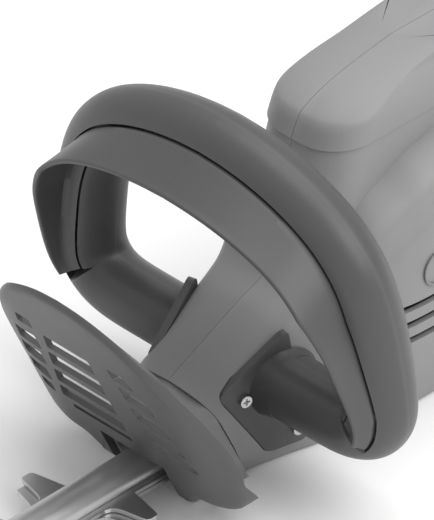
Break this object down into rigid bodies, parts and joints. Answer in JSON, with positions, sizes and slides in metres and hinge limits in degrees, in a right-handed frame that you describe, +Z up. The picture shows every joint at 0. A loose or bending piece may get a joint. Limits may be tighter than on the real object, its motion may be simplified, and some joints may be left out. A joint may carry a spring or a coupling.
{
  "type": "hedge trimmer",
  "caption": "Hedge trimmer: twin counter-sliding toothed blades under a half-round rail, slotted hand guard, wrap-round bail handle with switch bar, domed motor housing, rear loop handle",
  "frame": {"origin": "on the flat underside, where the drive gear's axis meets it", "axes": "+X forward along the blade, +Y to the operator's left, +Z up from the underside"},
  "size_m": [0.877, 0.2116, 0.1732],
  "materials": {
    "badge_plastic": "satin",
    "bearing_steel": "polished",
    "blade_steel": "brushed",
    "brass": "satin",
    "cast_aluminium": "satin",
    "copper": "satin",
    "dark_plastic": "satin",
    "graphite": "matte",
    "guard_plastic": "satin",
    "housing_plastic": "satin",
    "magnet": "matte",
    "rail_aluminium": "brushed",
    "screw_steel": "satin"
  },
  "bodies": {
    "frame": {"housing_left": "housing_plastic", "housing_right": "housing_plastic", "housing_screws": "screw_steel", "nose_collar": "housing_plastic", "hand_guard": "guard_plastic", "guard_screws": "screw_steel", "bail_front_shell": "guard_plastic", "bail_rear_shell": "guard_plastic", "bail_shell_screws": "screw_steel", "bail_flange_screws": "screw_steel", "bail_microswitch": "dark_plastic", "side_badges": "badge_plastic", "trigger_pin": "screw_steel", "trigger_switch": "dark_plastic", "suppression_capacitor": "dark_plastic", "inlet_socket": "dark_plastic", "inlet_pins": "brass", "gear_case": "cast_aluminium", "gear_case_lid": "cast_aluminium", "gear_case_screws": "screw_steel", "gear_axle": "screw_steel", "blade_rail": "rail_aluminium", "rail_foot_screws": "screw_steel", "blade_bushes": "screw_steel", "blade_washers": "screw_steel", "blade_screws": "screw_steel", "blade_tip_guard": "dark_plastic", "tip_guard_screws": "screw_steel", "axle_retaining_ring": "screw_steel", "motor_can": "screw_steel", "motor_magnets": "magnet", "motor_end_cap": "dark_plastic", "carbon_brushes": "graphite", "brush_caps": "brass", "upper_bearing": "bearing_steel", "lower_bearing": "bearing_steel"},
    "switch_bar": {"switch_bar": "guard_plastic", "switch_bar_pins": "screw_steel"},
    "trigger": {"trigger": "dark_plastic"},
    "upper_blade": {"upper_blade": "blade_steel"},
    "lower_blade": {"lower_blade": "blade_steel"},
    "drive_gear": {"drive_gear": "screw_steel", "gear_bush": "brass", "upper_eccentric": "screw_steel", "lower_eccentric": "screw_steel"},
    "rotor": {"rotor_shaft": "screw_steel", "rotor_core": "screw_steel", "rotor_windings": "copper", "commutator": "copper", "cooling_fan": "dark_plastic", "pinion": "screw_steel"}
  },
  "joints": [
    {"name": "upper_blade_slide", "type": "slide", "parent": "frame", "child": "upper_blade", "axis": [1, 0, 0], "range_m": [-0.004, 0.004]},
    {"name": "lower_blade_slide", "type": "slide", "parent": "frame", "child": "lower_blade", "axis": [1, 0, 0], "range_m": [-0.004, 0.004]},
    {"name": "gear_spin", "type": "hinge", "parent": "frame", "child": "drive_gear", "pos_m": [0, 0, 0.02], "axis": [0, 0, 1], "continuous": true},
    {"name": "rotor_spin", "type": "hinge", "parent": "frame", "child": "rotor", "pos_m": [-0.033, 0, 0.02], "axis": [0, 0, 1], "continuous": true},
    {"name": "switch_bar_press", "type": "hinge", "parent": "frame", "child": "switch_bar", "pos_m": [0.0479, 0, 0.066], "axis": [0, 1, 0], "range_deg": [-3, 0], "stiffness_Nm_per_rad": 8, "springref_deg": 5.73},
    {"name": "trigger_pull", "type": "hinge", "parent": "frame", "child": "trigger", "pos_m": [-0.15931, 0, 0.13517], "axis": [0, 1, 0], "range_deg": [0, 10], "stiffness_Nm_per_rad": 1, "springref_deg": -11.46}
  ],
  "couplings": [
    {"joint": "lower_blade_slide", "follows": "upper_blade_slide", "ratio": -1},
    {"joint": "rotor_spin", "follows": "gear_spin", "ratio": -4}
  ]
}
